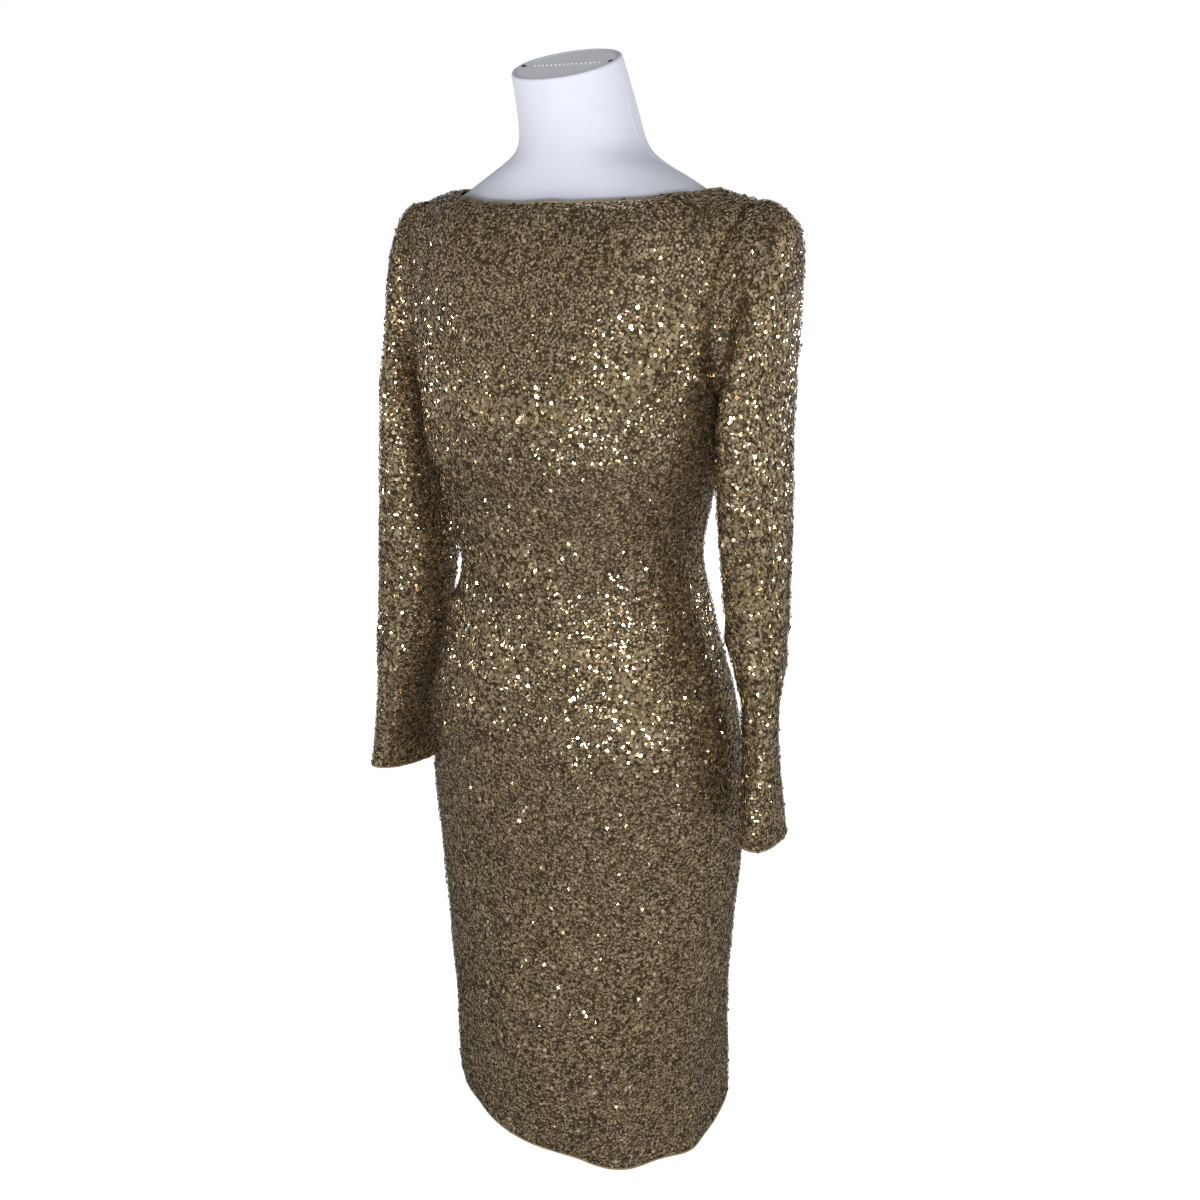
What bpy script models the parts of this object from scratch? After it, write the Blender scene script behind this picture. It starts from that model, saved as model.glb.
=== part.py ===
"""A long-sleeved sequinned cocktail dress on a limbless dress form with a short stand.

Metres, +Z up. The dress faces -Y and the wearer's left is +X. The origin is on the floor, under
the middle of the stand. Heights on the dress are drops below the neck point, which is where the
shoulder seam meets the neckline. A turn goes round the body in degrees: 0 is the centre front,
90 the wearer's left side seam, 180 the centre back and -90 the wearer's right side seam.
"""
import math
from collections import namedtuple

import bmesh
import bpy
import numpy as np

# The dress
NECK_POINT = 1.003          # height of the neck point above the floor
DRESS_LENGTH = 0.980        # neck point to hem
CLOTH = 0.0018              # wall of the sequinned cloth
SEAM_GAP = 0.0004           # between two pieces at a seam
ARMHOLE_GAP = 0.0008        # between the sleeve and the panels, whose edges turn along the seam
ARMPIT_DROP = 0.200
NECK_HALF_WIDTH = 0.139
NECK_SCOOP = 3.0            # how flat the neckline runs across its middle
SHOULDER_TIP = 0.181        # half width at the outer end of the shoulder seam
SHOULDER_SLOPE = 0.011      # fall of the shoulder seam from neck point to tip
ARMHOLE_DIP = 0.009         # how far the armhole's middle lies inside a straight line
RIDGE_ROUNDING = 2.2        # how squarely the cloth turns over the shoulder seam
BOW_SPREAD = 2.5            # keeps the armhole's bow close to its edge near the underarm
HEM_SKEW = 0.012            # the hem hangs this much lower towards HEM_SKEW_TURN
HEM_SKEW_TURN = 85
HEM_SKEW_TOP = 0.70
HEM_WAVE = 0.009            # and dips by this twice round, first at HEM_WAVE_TURN
HEM_WAVE_TURN = 62
RELIEF_FADE = 0.06          # folds die away over this height below the armpit
BODY_RADIUS = 0.16          # turns a fold's angle into a length round the body

# The grid of the cloth walls
NECK_COLUMNS = {"front": 6, "back": 5}       # from the centre line to the neck point
SHOULDER_COLUMNS = {"front": 4, "back": 3}   # from the neck point to the shoulder tip
ARMHOLE_ROWS = 8
Band = namedtuple("Band", "top bottom rows")
BANDS = (
    Band(0.200, 0.280, 3),
    Band(0.280, 0.720, 13),
    Band(0.720, 0.980, 7),
)

# Outer surface of the dress below the armpit. power squares the section off.
Body = namedtuple("Body", "drop half_width front back middle power")
BODY = (
    Body(0.200, 0.161, 0.136, 0.088, -0.010, 2.15),
    Body(0.250, 0.156, 0.132, 0.086, -0.010, 2.15),
    Body(0.290, 0.140, 0.124, 0.082, -0.009, 2.10),
    Body(0.350, 0.129, 0.116, 0.080, -0.006, 2.05),
    Body(0.400, 0.137, 0.116, 0.092, -0.004, 2.00),
    Body(0.450, 0.151, 0.120, 0.105, -0.004, 2.00),
    Body(0.520, 0.168, 0.127, 0.117, -0.002, 2.00),
    Body(0.600, 0.176, 0.127, 0.121, 0.000, 2.00),
    Body(0.690, 0.171, 0.128, 0.122, 0.002, 2.00),
    Body(0.785, 0.161, 0.138, 0.134, 0.008, 2.00),
    Body(0.880, 0.153, 0.146, 0.145, 0.011, 2.00),
    Body(0.980, 0.151, 0.149, 0.155, 0.014, 2.00),
)
ARMPIT_HALF_WIDTH = BODY[0].half_width

# How each panel meets the neckline and the armhole
Panel = namedtuple("Panel", "sign neck_reach neck_drop chest_rounding armhole_bow")
PANELS = {
    "front": Panel(-1, 0.078, 0.014, 1.25, 0.058),
    "back": Panel(1, 0.070, 0.010, 1.60, 0.048),
}

# Drape folds that stand out from the cloth, each along a line from one end to the other
Fold = namedtuple("Fold", "turn_from drop_from turn_to drop_to height width")
FOLD_LEAD = 0.10            # shares of a fold's length: it starts this far before its line,
FOLD_RISE = 0.15            # is at full height this far along it,
FOLD_FALL = 0.50            # starts to die away here
FOLD_END = 1.05             # and is gone here
FOLDS = (
    Fold(-88, 0.375, -18, 0.500, 0.0050, 0.034),
    Fold(-88, 0.425, -22, 0.545, 0.0060, 0.036),
    Fold(-88, 0.480, -30, 0.590, 0.0050, 0.034),
    Fold(-92, 0.400, -160, 0.480, 0.0045, 0.034),
    Fold(-92, 0.455, -150, 0.555, 0.0045, 0.034),
)

# Soft flutes that open towards the hem
Flute = namedtuple("Flute", "turn top height width")
FLUTES = (
    Flute(-66, 0.82, 0.003, 0.050),
    Flute(-5, 0.86, 0.003, 0.060),
    Flute(38, 0.82, 0.009, 0.060),
    Flute(72, 0.78, 0.007, 0.045),
    Flute(112, 0.80, 0.005, 0.050),
    Flute(160, 0.82, 0.007, 0.060),
    Flute(-125, 0.80, 0.007, 0.055),
)

# Sleeve rings over the cap fan out from the underarm. Each one spans from a point by the underarm
# to a point on the cap's outer line; ahead is how far its middle lies towards the front.
Cap = namedtuple("Cap", "under_out under_drop over_out over_drop half_deep ahead")
CAPS = {
    "left": (
        Cap(0.1632, 0.2004, 0.1985, 0.0136, 0.0500, 0.011),
        Cap(0.1639, 0.2008, 0.2140, 0.0260, 0.057, 0.011),
        Cap(0.1646, 0.2013, 0.2205, 0.0410, 0.064, 0.012),
        Cap(0.1651, 0.2019, 0.2220, 0.0810, 0.067, 0.017),
        Cap(0.1655, 0.2026, 0.2215, 0.1290, 0.069, 0.022),
        Cap(0.1658, 0.2036, 0.2210, 0.1620, 0.069, 0.025),
        Cap(0.1660, 0.2052, 0.2205, 0.1870, 0.069, 0.027),
    ),
    "right": (
        Cap(0.1632, 0.2004, 0.1895, 0.0136, 0.0500, 0.011),
        Cap(0.1639, 0.2008, 0.1975, 0.0230, 0.054, 0.010),
        Cap(0.1646, 0.2013, 0.2030, 0.0390, 0.057, 0.009),
        Cap(0.1651, 0.2019, 0.2065, 0.0810, 0.062, 0.007),
        Cap(0.1655, 0.2026, 0.2095, 0.1290, 0.063, 0.009),
        Cap(0.1658, 0.2036, 0.2120, 0.1620, 0.063, 0.011),
        Cap(0.1660, 0.2052, 0.2140, 0.1870, 0.062, 0.013),
    ),
}

# Sleeve rings below the underarm, all level. twist turns the section's front edge towards the body.
# tilt lifts the section's front edge and lowers its back edge.
Arm = namedtuple("Arm", "drop out ahead half_thick half_deep twist tilt")
ARMS = {
    "left": (
        Arm(0.214, 0.193, 0.028, 0.0275, 0.068, 0, 0),
        Arm(0.290, 0.197, 0.031, 0.0290, 0.060, 0, 0),
        Arm(0.350, 0.200, 0.029, 0.0290, 0.052, -3, 0),
        Arm(0.425, 0.204, 0.028, 0.0270, 0.047, -9, 0),
        Arm(0.475, 0.208, 0.028, 0.0190, 0.044, -20, 0),
        Arm(0.510, 0.209, 0.030, 0.0175, 0.043, -24, 0),
        Arm(0.555, 0.212, 0.032, 0.0190, 0.046, -18, 0),
        Arm(0.615, 0.217, 0.032, 0.0200, 0.051, -8, 0.004),
    ),
    "right": (
        Arm(0.214, 0.190, 0.013, 0.0245, 0.062, 0, 0),
        Arm(0.290, 0.190, 0.022, 0.0300, 0.057, 0, 0),
        Arm(0.350, 0.190, 0.025, 0.0360, 0.053, 0, 0),
        Arm(0.425, 0.195, 0.027, 0.0355, 0.049, 2, 0),
        Arm(0.475, 0.201, 0.030, 0.0320, 0.048, 3, 0),
        Arm(0.510, 0.205, 0.032, 0.0275, 0.047, 3, 0),
        Arm(0.555, 0.211, 0.033, 0.0220, 0.048, 0, 0),
        Arm(0.615, 0.215, 0.032, 0.0205, 0.053, -4, 0.006),
    ),
}
ARM_RINGS = 11

# The dress form: it follows the dress, FORM_EASE inside it, up to the armpit
FORM_EASE = 0.0060
FORM_BOTTOM = 0.660
FORM_RINGS_BELOW = 11
FORM_COLUMNS = 24
Form = namedtuple("Form", "drop half_width front back middle power")
FORM_TOP = (
    Form(0.150, 0.1560, 0.1150, 0.0800, -0.007, 2.1),
    Form(0.100, 0.1590, 0.1000, 0.0740, -0.004, 2.1),
    Form(0.060, 0.1610, 0.0870, 0.0660, -0.002, 2.0),
    Form(0.034, 0.1600, 0.0760, 0.0600, -0.001, 2.0),
    Form(0.020, 0.1530, 0.0690, 0.0580, 0.000, 2.0),
    Form(0.010, 0.1400, 0.0660, 0.0570, 0.000, 2.0),
    Form(0.001, 0.1240, 0.0650, 0.0570, 0.000, 2.0),
    Form(-0.011, 0.1030, 0.0640, 0.0580, 0.000, 2.0),
    Form(-0.023, 0.0810, 0.0620, 0.0600, -0.001, 2.0),
    Form(-0.036, 0.0640, 0.0600, 0.0590, -0.003, 2.0),
    Form(-0.056, 0.0575, 0.0570, 0.0570, -0.010, 2.0),
    Form(-0.084, 0.0535, 0.0530, 0.0530, -0.023, 2.0),
    Form(-0.1075, 0.0520, 0.0480, 0.0480, -0.034, 2.0),
)
NECK_CUT_TILT = 20.0        # the top of the neck is cut off sloping down to the front
NECK_CUT_SPAN = 0.09        # rings within this height of the cut lean into its slope
CAP_INSET = 0.004
CAP_THICKNESS = 0.002
CAP_EDGE = 0.6              # share of the cap's thickness below its bevel
CAP_BEVEL = 0.97            # scale of the cap's outline at its top

# The stand
BASE_RADIUS = 0.108
BASE_THICKNESS = 0.010
SOCKET_RADIUS = 0.022
SOCKET_TOP = 0.030          # height of the socket's top above the floor
POLE_RADIUS = 0.0125
TOUCH_GAP = 0.0003
ROUND_SEGMENTS = 32

MATERIALS = {
    "sequin_cloth": ((0.16, 0.12, 0.065), 0.35, 0.6),
    "form_cover": ((0.80, 0.81, 0.86), 0.80, 0.0),
    "stand_metal": ((0.72, 0.72, 0.73), 0.35, 0.9),
}


def material(name):
    colour, roughness, metallic = MATERIALS[name]
    made = bpy.data.materials.get(name) or bpy.data.materials.new(name)
    made.use_nodes = True
    shader = made.node_tree.nodes["Principled BSDF"]
    shader.inputs["Base Color"].default_value = (*colour, 1.0)
    shader.inputs["Roughness"].default_value = roughness
    shader.inputs["Metallic"].default_value = metallic
    return made


def add_object(name, bm, finish):
    """Close off a bmesh with outward faces and put it in the scene as one named object."""
    bmesh.ops.recalc_face_normals(bm, faces=bm.faces)
    mesh = bpy.data.meshes.new(name)
    bm.to_mesh(mesh)
    bm.free()
    mesh.shade_smooth()
    mesh.set_sharp_from_angle(angle=math.radians(40))
    mesh.materials.append(material(finish))
    made = bpy.data.objects.new(name, mesh)
    bpy.context.scene.collection.objects.link(made)
    return made


def eased(rows, name, at):
    """One column of a table at any drop, on a smooth curve through its rows."""
    ordered = sorted(rows, key=lambda row: row.drop)
    knots = np.array([row.drop for row in ordered])
    values = np.array([getattr(row, name) for row in ordered])
    slopes = np.gradient(values, knots)
    at = np.clip(np.asarray(at, dtype=float), knots[0], knots[-1])
    cell = np.clip(np.searchsorted(knots, at) - 1, 0, len(knots) - 2)
    span = knots[cell + 1] - knots[cell]
    t = (at - knots[cell]) / span
    return (values[cell] * (1 + 2 * t) * (1 - t) ** 2
            + values[cell + 1] * t ** 2 * (3 - 2 * t)
            + slopes[cell] * span * t * (1 - t) ** 2
            - slopes[cell + 1] * span * t ** 2 * (1 - t))


def superellipse(across, power):
    """Height of a unit superellipse above each place across it, from -1 to 1."""
    return np.maximum(1 - np.abs(across) ** power, 0) ** (1 / power)


def smoothstep(t):
    t = np.clip(t, 0, 1)
    return t * t * (3 - 2 * t)


def fold_height(fold, turn, drop):
    """How far one drape fold stands out, over the whole grid."""
    along = np.array([math.radians(fold.turn_to - fold.turn_from) * BODY_RADIUS,
                      fold.drop_to - fold.drop_from])
    length = np.linalg.norm(along)
    along /= length
    away = (turn - fold.turn_from + 180) % 360 - 180
    round_body = np.radians(away) * BODY_RADIUS
    down = drop - fold.drop_from
    t = (round_body * along[0] + down * along[1]) / length
    off = round_body * along[1] - down * along[0]
    across = np.clip(1 - (off / (fold.width / 2)) ** 2, 0, 1) ** 2
    rise = smoothstep((t + FOLD_LEAD) / (FOLD_LEAD + FOLD_RISE))
    fall = smoothstep((FOLD_END - t) / (FOLD_END - FOLD_FALL))
    return fold.height * across * rise * fall


def flute_height(flute, turn, drop):
    """How far one flute stands out. It is widest and highest at the hem."""
    away = (turn - flute.turn + 180) % 360 - 180
    off = np.radians(away) * BODY_RADIUS
    across = np.exp(-(off / (flute.width / 2)) ** 2)
    opening = smoothstep((drop - flute.top) / (DRESS_LENGTH - flute.top))
    return flute.height * across * opening


def relief(turn, drop):
    """Outward reach of all the folds and flutes."""
    total = sum(fold_height(fold, turn, drop) for fold in FOLDS)
    total = total + sum(flute_height(flute, turn, drop) for flute in FLUTES)
    return total * smoothstep((drop - ARMPIT_DROP) / RELIEF_FADE)


def column_places(side):
    """Places across a panel from -1 to 1, with one exactly on each neck point."""
    corner = math.asin(NECK_HALF_WIDTH / SHOULDER_TIP)
    neck = np.linspace(0, corner, NECK_COLUMNS[side] + 1)
    shoulder = np.linspace(corner, math.pi / 2, SHOULDER_COLUMNS[side] + 1)
    half = np.sin(np.concatenate([neck, shoulder[1:]]))
    return np.concatenate([-half[:0:-1], half])


def lower_drops():
    """Drops of the rows from the hem up to the armpit."""
    drops = [BANDS[0].top]
    for band in BANDS:
        drops.extend(np.linspace(band.top, band.bottom, band.rows + 1)[1:])
    return np.array(drops[::-1])


def seam_line():
    """How far back the side seam and the shoulder seam lie, row by row."""
    return np.concatenate([eased(BODY, "middle", lower_drops()),
                           BODY[0].middle * (1 - armhole_levels()[1:])])


def lower_rows(side, across):
    """Grid of points from the hem up to the armpit, side seam to side seam."""
    drop = lower_drops()[:, None]
    sign = PANELS[side].sign
    middle = eased(BODY, "middle", drop)
    x = eased(BODY, "half_width", drop) * across
    y = sign * eased(BODY, side, drop) * superellipse(across, eased(BODY, "power", drop))
    turn = np.degrees(np.arctan2(x, -y))
    spread = 1 + relief(turn, drop) / np.hypot(x, y)
    skew = np.cos(np.radians(turn - HEM_SKEW_TURN))
    wave = np.cos(np.radians(2 * (turn - HEM_WAVE_TURN)))
    lower = smoothstep((drop - HEM_SKEW_TOP) / (DRESS_LENGTH - HEM_SKEW_TOP))
    z = NECK_POINT - drop - (HEM_SKEW * skew + HEM_WAVE * wave) * lower
    return np.stack([x * spread, y * spread + middle, z], axis=-1)


def armhole_levels():
    """Shares of the armhole's height, close together at its top and bottom."""
    swing = np.linspace(-math.pi / 2, math.pi / 2, ARMHOLE_ROWS + 1)
    return (1 + np.sin(swing)) / 2


def upper_rows(side, across):
    """Grid of points from just above the armpit to the neckline and the shoulder seam."""
    panel = PANELS[side]
    share = armhole_levels()[1:, None]
    edge = ARMPIT_HALF_WIDTH + (SHOULDER_TIP - ARMPIT_HALF_WIDTH) * share
    edge = edge - ARMHOLE_DIP * 4 * share * (1 - share)
    top_x = np.abs(SHOULDER_TIP * across)
    on_neck = np.minimum(top_x / NECK_HALF_WIDTH, 1)
    on_shoulder = np.clip((top_x - NECK_HALF_WIDTH) / (SHOULDER_TIP - NECK_HALF_WIDTH), 0, 1)
    top_y = panel.neck_reach * superellipse(on_neck, 2.0)
    top_drop = panel.neck_drop * (1 - on_neck ** NECK_SCOOP) + SHOULDER_SLOPE * on_shoulder
    section = superellipse(across, BODY[0].power)
    chest_y = eased(BODY, side, ARMPIT_DROP) * section
    outward = smoothstep(np.abs(across) / column_places(side)[-1 - SHOULDER_COLUMNS[side]])
    rounding = panel.chest_rounding + (RIDGE_ROUNDING - panel.chest_rounding) * outward
    fall = (1 - share ** rounding) ** (1 / rounding)
    bow = panel.armhole_bow * 2 * np.sqrt(share * (1 - share))
    bow = bow * (1 - section) ** (BOW_SPREAD * (1 - share) + share)
    y = BODY[0].middle * (1 - share) + panel.sign * (top_y + (chest_y - top_y) * fall + bow)
    z = NECK_POINT - ARMPIT_DROP + (ARMPIT_DROP - top_drop) * share
    return np.stack([edge * across, y, z], axis=-1)


def grid_normals(grid):
    """Outward normals of a panel's grid."""
    upward = np.gradient(grid, axis=0)
    sideways = np.gradient(grid, axis=1)
    normal = np.cross(sideways, upward)
    normal /= np.linalg.norm(normal, axis=-1, keepdims=True)
    outward = np.sum(normal[:, :, :2] * grid[:, :, :2], axis=-1).sum()
    return normal if outward > 0 else -normal


def flatten_seam_normals(normal, side):
    """At the side and shoulder seams the wall's edge lies in the seam's own plane."""
    low = normal.shape[0] - ARMHOLE_ROWS
    shoulder = SHOULDER_COLUMNS[side]
    for seam in (normal[:low, 0], normal[:low, -1], normal[-1, :shoulder + 1],
                 normal[-1, -1 - shoulder:]):
        seam[:, 1] = 0
        seam /= np.linalg.norm(seam, axis=-1, keepdims=True)


def panel_grids(side):
    """Outer and inner grids of the front or the back panel."""
    across = column_places(side)
    sign = PANELS[side].sign
    outer = np.concatenate([lower_rows(side, across), upper_rows(side, across)])
    normal = grid_normals(outer)
    flatten_seam_normals(normal, side)
    inner = outer - CLOTH * normal
    seam = seam_line()[:, None]
    inner[:, :, 1] = seam + sign * np.maximum(sign * (inner[:, :, 1] - seam), 0)
    for grid in (outer, inner):
        grid[:, :, 1] += sign * SEAM_GAP / 2
    return outer, inner


def ring_vertices(bm, grid):
    return [[bm.verts.new(point) for point in row] for row in grid]


def bridge_rows(bm, rows, closed):
    """Quads between neighbouring rows of vertices."""
    for low, high in zip(rows, rows[1:]):
        count = len(low)
        for i in range(count if closed else count - 1):
            j = (i + 1) % count
            bm.faces.new((low[i], low[j], high[j], high[i]))


def open_wall(name, outer, inner):
    """A panel: two skins joined round all four edges."""
    bm = bmesh.new()
    out_rows = ring_vertices(bm, outer)
    in_rows = ring_vertices(bm, inner)
    bridge_rows(bm, out_rows, closed=False)
    bridge_rows(bm, in_rows, closed=False)
    edges = (
        (out_rows[0], in_rows[0]),
        (out_rows[-1], in_rows[-1]),
        ([row[0] for row in out_rows], [row[0] for row in in_rows]),
        ([row[-1] for row in out_rows], [row[-1] for row in in_rows]),
    )
    for pair in edges:
        bridge_rows(bm, pair, closed=False)
    return add_object(name, bm, "sequin_cloth")


def tube_wall(name, outer, inner):
    """A sleeve: two skins joined at both open ends."""
    bm = bmesh.new()
    out_rows = ring_vertices(bm, outer)
    in_rows = ring_vertices(bm, inner)
    bridge_rows(bm, out_rows, closed=True)
    bridge_rows(bm, in_rows, closed=True)
    for end in (0, -1):
        bridge_rows(bm, (out_rows[end], in_rows[end]), closed=True)
    return add_object(name, bm, "sequin_cloth")


def armhole_ring(front, back, hand):
    """One skin's armhole edge as a ring: up the front from the underarm, then down the back."""
    edge = -1 if hand > 0 else 0
    start = -1 - ARMHOLE_ROWS
    up = front[start:, edge].copy()
    down = back[start:, edge][::-1].copy()
    up[[0, -1], 1] = (up[[0, -1], 1] + down[[-1, 0], 1]) / 2
    return np.concatenate([up, down[1:-1]])


def armhole_step(outer, inner):
    """The seam's gap at each point of the armhole: along the cloth, into the hole."""
    tangent = np.roll(outer, -1, axis=0) - np.roll(outer, 1, axis=0)
    away = np.cross(outer - inner, tangent)
    away /= np.linalg.norm(away, axis=1, keepdims=True)
    into_hole = outer.mean(axis=0) - outer
    away *= np.sign(np.sum(away * into_hole, axis=1, keepdims=True))
    return away * ARMHOLE_GAP


def sleeve_ring(centre, lean, half_up, half_deep, twist, tilt, hand):
    """One elliptical ring, in the same order as the armhole's edge. Angles are in radians."""
    swing = np.linspace(-math.pi / 2, 3 * math.pi / 2, 2 * ARMHOLE_ROWS + 1)[:-1]
    up = half_up * np.sin(swing)
    ahead = half_deep * np.cos(swing)
    up, ahead = (up * math.cos(twist) - ahead * math.sin(twist),
                 up * math.sin(twist) + ahead * math.cos(twist))
    x = centre[0] + up * math.cos(lean)
    z = centre[2] + up * math.sin(lean) + tilt * np.cos(swing)
    return np.stack([hand * x, centre[1] - ahead, z], axis=-1)


def cap_rings(caps, hand):
    rings = []
    for cap in caps:
        out = (cap.under_out + cap.over_out) / 2
        drop = (cap.under_drop + cap.over_drop) / 2
        rise = cap.under_drop - cap.over_drop
        reach = cap.over_out - cap.under_out
        centre = (out, -cap.ahead, NECK_POINT - drop)
        rings.append(sleeve_ring(centre, math.atan2(rise, reach), math.hypot(rise, reach) / 2,
                                 cap.half_deep, 0, 0, hand))
    return rings


def arm_rings(arm, hand):
    rings = []
    for drop in np.linspace(arm[0].drop, arm[-1].drop, ARM_RINGS):
        row = {name: float(eased(arm, name, drop)) for name in Arm._fields}
        centre = (row["out"], -row["ahead"], NECK_POINT - drop)
        rings.append(sleeve_ring(centre, 0, row["half_thick"], row["half_deep"],
                                 math.radians(row["twist"]), row["tilt"], hand))
    return rings


def tube_inside(outer):
    """The tube's points moved in by the cloth's wall."""
    along = np.gradient(outer, axis=0)
    around = np.roll(outer, -1, axis=1) - np.roll(outer, 1, axis=1)
    normal = np.cross(around, along)
    normal /= np.linalg.norm(normal, axis=-1, keepdims=True)
    centre = outer.mean(axis=1, keepdims=True)
    if np.sum(normal * (outer - centre)) < 0:
        normal = -normal
    return outer - CLOTH * normal


def build_sleeve(side, front, back):
    hand = 1 if side == "left" else -1
    edge = armhole_ring(front[0], back[0], hand)
    lining = armhole_ring(front[1], back[1], hand)
    step = armhole_step(edge, lining)
    outer = np.array([edge + step] + cap_rings(CAPS[side], hand) + arm_rings(ARMS[side], hand))
    inner = tube_inside(outer)
    inner[0] = lining + step
    return tube_wall("sleeve_" + side, outer, inner)


def section_ring(row, columns):
    """One closed section: half_width to the sides, its own depth to the front and the back."""
    turn = np.linspace(0, 2 * math.pi, columns, endpoint=False)
    power = 2 / row["power"]
    x = row["half_width"] * np.sign(np.sin(turn)) * np.abs(np.sin(turn)) ** power
    depth = np.where(np.cos(turn) > 0, row["front"], row["back"])
    y = -depth * np.sign(np.cos(turn)) * np.abs(np.cos(turn)) ** power + row["middle"]
    return np.stack([x, y, np.full(columns, NECK_POINT - row["drop"])], axis=-1)


def form_rings():
    """Rings of the form from its flat underside to the sloping top of its neck."""
    rings = []
    for drop in np.linspace(FORM_BOTTOM, ARMPIT_DROP, FORM_RINGS_BELOW):
        row = {name: float(eased(BODY, name, drop)) for name in Body._fields}
        for name in ("half_width", "front", "back"):
            row[name] -= FORM_EASE
        row["drop"] = drop
        rings.append(section_ring(row, FORM_COLUMNS))
    rings.extend(section_ring(top._asdict(), FORM_COLUMNS) for top in FORM_TOP)
    slope = math.tan(math.radians(NECK_CUT_TILT))
    top = rings[-1][0, 2]
    for ring in rings:
        share = smoothstep(1 - (top - ring[:, 2]) / NECK_CUT_SPAN)
        ring[:, 2] += share * slope * (ring[:, 1] - FORM_TOP[-1].middle)
    return rings


def closed_stack(name, rings, finish):
    """A solid through rings, closed flat at both ends."""
    bm = bmesh.new()
    rows = ring_vertices(bm, rings)
    bridge_rows(bm, rows, closed=True)
    bm.faces.new(rows[0])
    bm.faces.new(rows[-1])
    return add_object(name, bm, finish)


def build_form():
    rings = form_rings()
    closed_stack("form_torso", rings, "form_cover")
    slope = math.radians(NECK_CUT_TILT)
    normal = np.array([0, -math.sin(slope), math.cos(slope)])
    centre = rings[-1].mean(axis=0)
    outline = rings[-1] - centre
    shrink = 1 - CAP_INSET / np.linalg.norm(outline, axis=1, keepdims=True)
    levels = ((TOUCH_GAP, 1.0), (TOUCH_GAP + CAP_EDGE * CAP_THICKNESS, 1.0),
              (TOUCH_GAP + CAP_THICKNESS, CAP_BEVEL))
    cap = [centre + outline * shrink * scale + normal * rise for rise, scale in levels]
    closed_stack("form_neck_cap", cap, "form_cover")


def turned(name, profile, finish):
    """A solid of revolution about the Z axis from (radius, height) pairs."""
    turn = np.linspace(0, 2 * math.pi, ROUND_SEGMENTS, endpoint=False)
    rings = [np.stack([radius * np.cos(turn), radius * np.sin(turn),
                       np.full(ROUND_SEGMENTS, height)], axis=-1)
             for radius, height in profile]
    return closed_stack(name, rings, finish)


def build_stand():
    edge = BASE_THICKNESS / 4
    turned("stand_base", (
        (BASE_RADIUS - edge, 0),
        (BASE_RADIUS, edge),
        (BASE_RADIUS, BASE_THICKNESS - edge),
        (BASE_RADIUS - edge, BASE_THICKNESS),
    ), "stand_metal")
    bevel = SOCKET_RADIUS / 10
    turned("stand_socket", (
        (SOCKET_RADIUS, BASE_THICKNESS + TOUCH_GAP),
        (SOCKET_RADIUS, SOCKET_TOP - bevel),
        (SOCKET_RADIUS - bevel, SOCKET_TOP),
    ), "stand_metal")
    underside = NECK_POINT - FORM_BOTTOM
    turned("stand_pole", (
        (POLE_RADIUS, SOCKET_TOP + TOUCH_GAP),
        (POLE_RADIUS, underside - TOUCH_GAP),
    ), "stand_metal")


def main():
    for old in list(bpy.data.objects):
        bpy.data.objects.remove(old, do_unlink=True)
    front = panel_grids("front")
    back = panel_grids("back")
    open_wall("dress_front", *front)
    open_wall("dress_back", *back)
    build_sleeve("left", front, back)
    build_sleeve("right", front, back)
    build_form()
    build_stand()


main()
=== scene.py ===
"""Looks for the sequinned cocktail dress on its dress form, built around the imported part.

Metres, +Z up. The dress faces -Y and the wearer's left is +X. A drop is a distance below the neck
point. A turn goes round the body in degrees: 0 is the centre front, 90 the wearer's left side and
-90 the wearer's right side. Round a sleeve 0 is its front, 90 its outside and -90 its inside.
"""
import math
from collections import namedtuple

import bmesh
import bpy
import numpy as np
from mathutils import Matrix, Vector
from mathutils.bvhtree import BVHTree
from mathutils.kdtree import KDTree


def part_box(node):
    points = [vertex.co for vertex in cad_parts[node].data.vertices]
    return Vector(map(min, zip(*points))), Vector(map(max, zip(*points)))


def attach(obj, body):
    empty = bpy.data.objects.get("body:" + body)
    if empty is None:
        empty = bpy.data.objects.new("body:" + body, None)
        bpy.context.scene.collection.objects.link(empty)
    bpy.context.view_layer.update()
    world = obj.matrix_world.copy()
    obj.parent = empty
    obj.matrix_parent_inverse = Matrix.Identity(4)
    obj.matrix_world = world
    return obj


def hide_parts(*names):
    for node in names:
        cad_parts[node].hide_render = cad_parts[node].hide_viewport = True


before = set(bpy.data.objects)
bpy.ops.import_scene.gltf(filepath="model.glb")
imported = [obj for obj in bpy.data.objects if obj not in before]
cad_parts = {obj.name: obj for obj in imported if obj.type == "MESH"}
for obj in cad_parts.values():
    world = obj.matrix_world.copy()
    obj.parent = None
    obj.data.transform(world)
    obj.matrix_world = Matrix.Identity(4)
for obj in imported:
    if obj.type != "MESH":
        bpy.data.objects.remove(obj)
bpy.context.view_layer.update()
NECK_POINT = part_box("dress_front")[1].z
BODY_RADIUS = 0.16
SLEEVE_RADIUS = 0.050

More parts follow.
